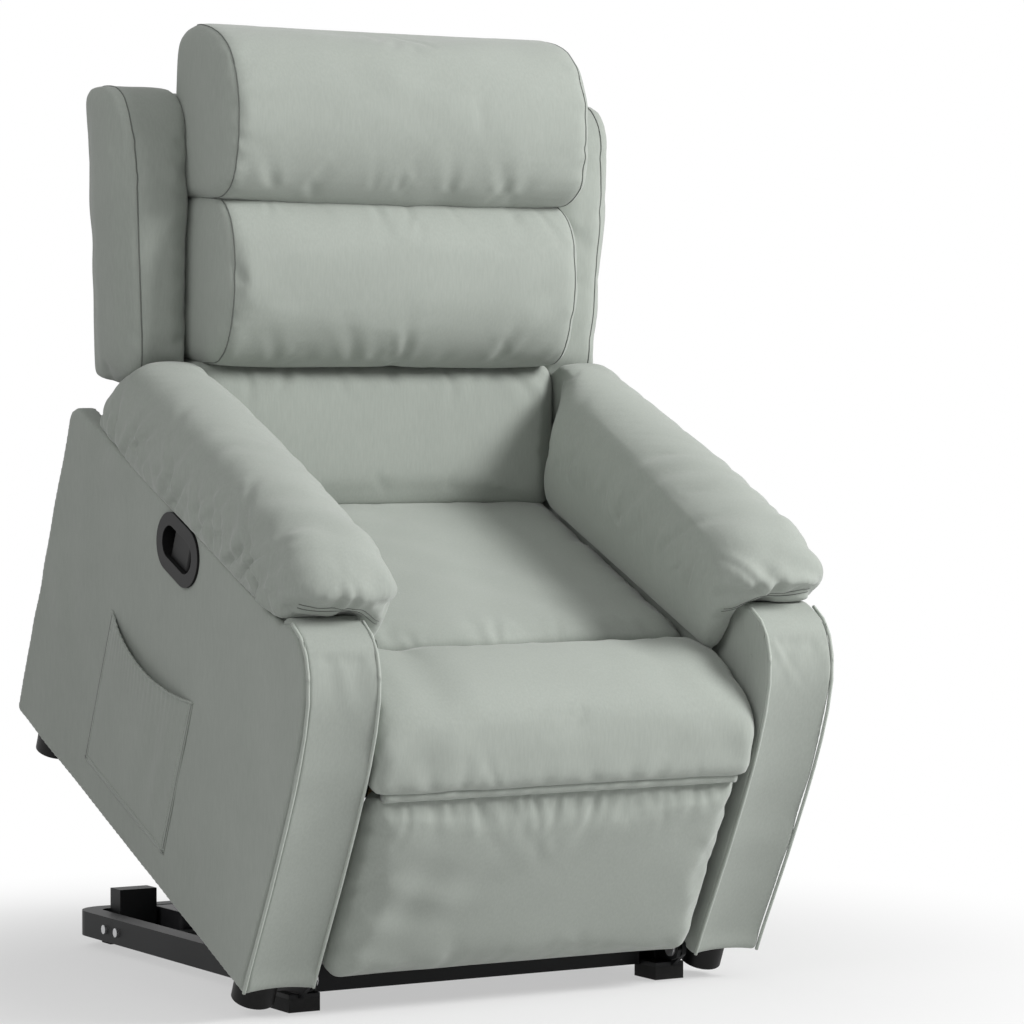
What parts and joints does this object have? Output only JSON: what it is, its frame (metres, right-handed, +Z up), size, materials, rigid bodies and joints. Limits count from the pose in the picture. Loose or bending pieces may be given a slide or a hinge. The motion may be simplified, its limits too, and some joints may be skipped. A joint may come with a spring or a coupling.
{
  "type": "lift recliner chair",
  "caption": "Upholstered lift recliner on a steel floor frame: an actuator tips the whole chair forward, the back reclines and the legrest swings up.",
  "frame": {"origin": "on the floor, under the middle of the whole chair's box", "axes": "+Z up, +X across the chair to the sitter's left, the chair faces -Y"},
  "size_m": [0.819, 0.9657, 1.324],
  "materials": {
    "upholstery": "matte pale grey-green woven fabric",
    "painted_steel": "dark grey satin powder coat",
    "plated_steel": "zinc plated",
    "actuator_plastic": "matte moulded",
    "actuator_tube": "anodised",
    "black_plastic": "fine-grained black",
    "rubber": "matte",
    "timber": "raw plywood",
    "webbing": "woven elastic"
  },
  "bodies": {
    "base": {"base_rear_cross": "painted_steel", "base_rail_left": "painted_steel", "base_rail_right": "painted_steel", "base_cross_bar": "painted_steel", "base_tray": "painted_steel", "base_front_cross": "painted_steel", "hinge_brackets": "painted_steel", "lift_pins": "plated_steel", "base_feet": "rubber", "rest_blocks": "painted_steel", "motor_clevis": "painted_steel", "motor_pin": "plated_steel", "base_bolts": "plated_steel", "control_box": "actuator_plastic", "power_inlet": "actuator_plastic"},
    "actuator": {"actuator_gearbox": "actuator_plastic", "actuator_motor": "actuator_plastic", "actuator_tube": "actuator_tube"},
    "rod": {"actuator_rod": "plated_steel"},
    "chair": {"lift_rail_left": "painted_steel", "lift_rail_right": "painted_steel", "lift_cross_rear": "painted_steel", "lift_cross_front": "painted_steel", "drive_tube": "painted_steel", "drive_bracket": "painted_steel", "drive_pin": "plated_steel", "side_panel_left": "upholstery", "side_panel_right": "upholstery", "arm_inner_left": "upholstery", "arm_inner_right": "upholstery", "arm_front_left": "upholstery", "arm_front_right": "upholstery", "arm_pad_left": "upholstery", "arm_pad_right": "upholstery", "arm_blocks": "timber", "chair_feet": "black_plastic", "storage_pocket": "upholstery", "handle_cup": "black_plastic", "lever_pin": "plated_steel", "seat_side_rails": "painted_steel", "seat_cross_rails": "painted_steel", "seat_springs": "plated_steel", "seat_cushion": "upholstery", "seat_front_roll": "upholstery", "rear_panel": "upholstery", "recline_brackets": "painted_steel", "legrest_hangers": "painted_steel"},
    "backrest": {"back_posts": "painted_steel", "back_rails": "painted_steel", "back_bands": "webbing", "head_cushion": "upholstery", "lumbar_cushion": "upholstery", "back_lower_cushion": "upholstery", "back_wing_left": "upholstery", "back_wing_right": "upholstery", "back_outer_panel": "upholstery"},
    "legrest": {"legrest_hinges": "painted_steel", "legrest_board": "timber", "legrest_pad": "upholstery"},
    "lever": {"release_lever": "black_plastic"}
  },
  "joints": [
    {"name": "lift", "type": "hinge", "parent": "base", "child": "chair", "pos_m": [0, -0.261, 0.045], "axis": [1, 0, 0], "range_deg": [-23.75, 0]},
    {"name": "actuator_swing", "type": "hinge", "parent": "base", "child": "actuator", "pos_m": [0, 0.435, 0.06], "axis": [1, 0, 0], "range_deg": [-0.5, 6]},
    {"name": "rod_slide", "type": "slide", "parent": "actuator", "child": "rod", "axis": [0, -0.9649, 0.2626], "range_m": [-0.0735, 0.0005]},
    {"name": "recline", "type": "hinge", "parent": "chair", "child": "backrest", "pos_m": [0, 0.17179, 0.71505], "axis": [-1, 0, 0], "range_deg": [0, 35]},
    {"name": "legrest_swing", "type": "hinge", "parent": "chair", "child": "legrest", "pos_m": [0, -0.43297, 0.29927], "axis": [-1, 0, 0], "range_deg": [0, 80]},
    {"name": "lever_pull", "type": "hinge", "parent": "chair", "child": "lever", "pos_m": [-0.393, -0.13539, 0.59628], "axis": [0, -0.4027, 0.9153], "range_deg": [0, 25], "stiffness_Nm_per_rad": 0.6}
  ],
  "couplings": [
    {"joint": "actuator_swing", "follows": "lift", "ratio": -0.22216},
    {"joint": "rod_slide", "follows": "lift", "m_per_rad": 0.17365}
  ]
}
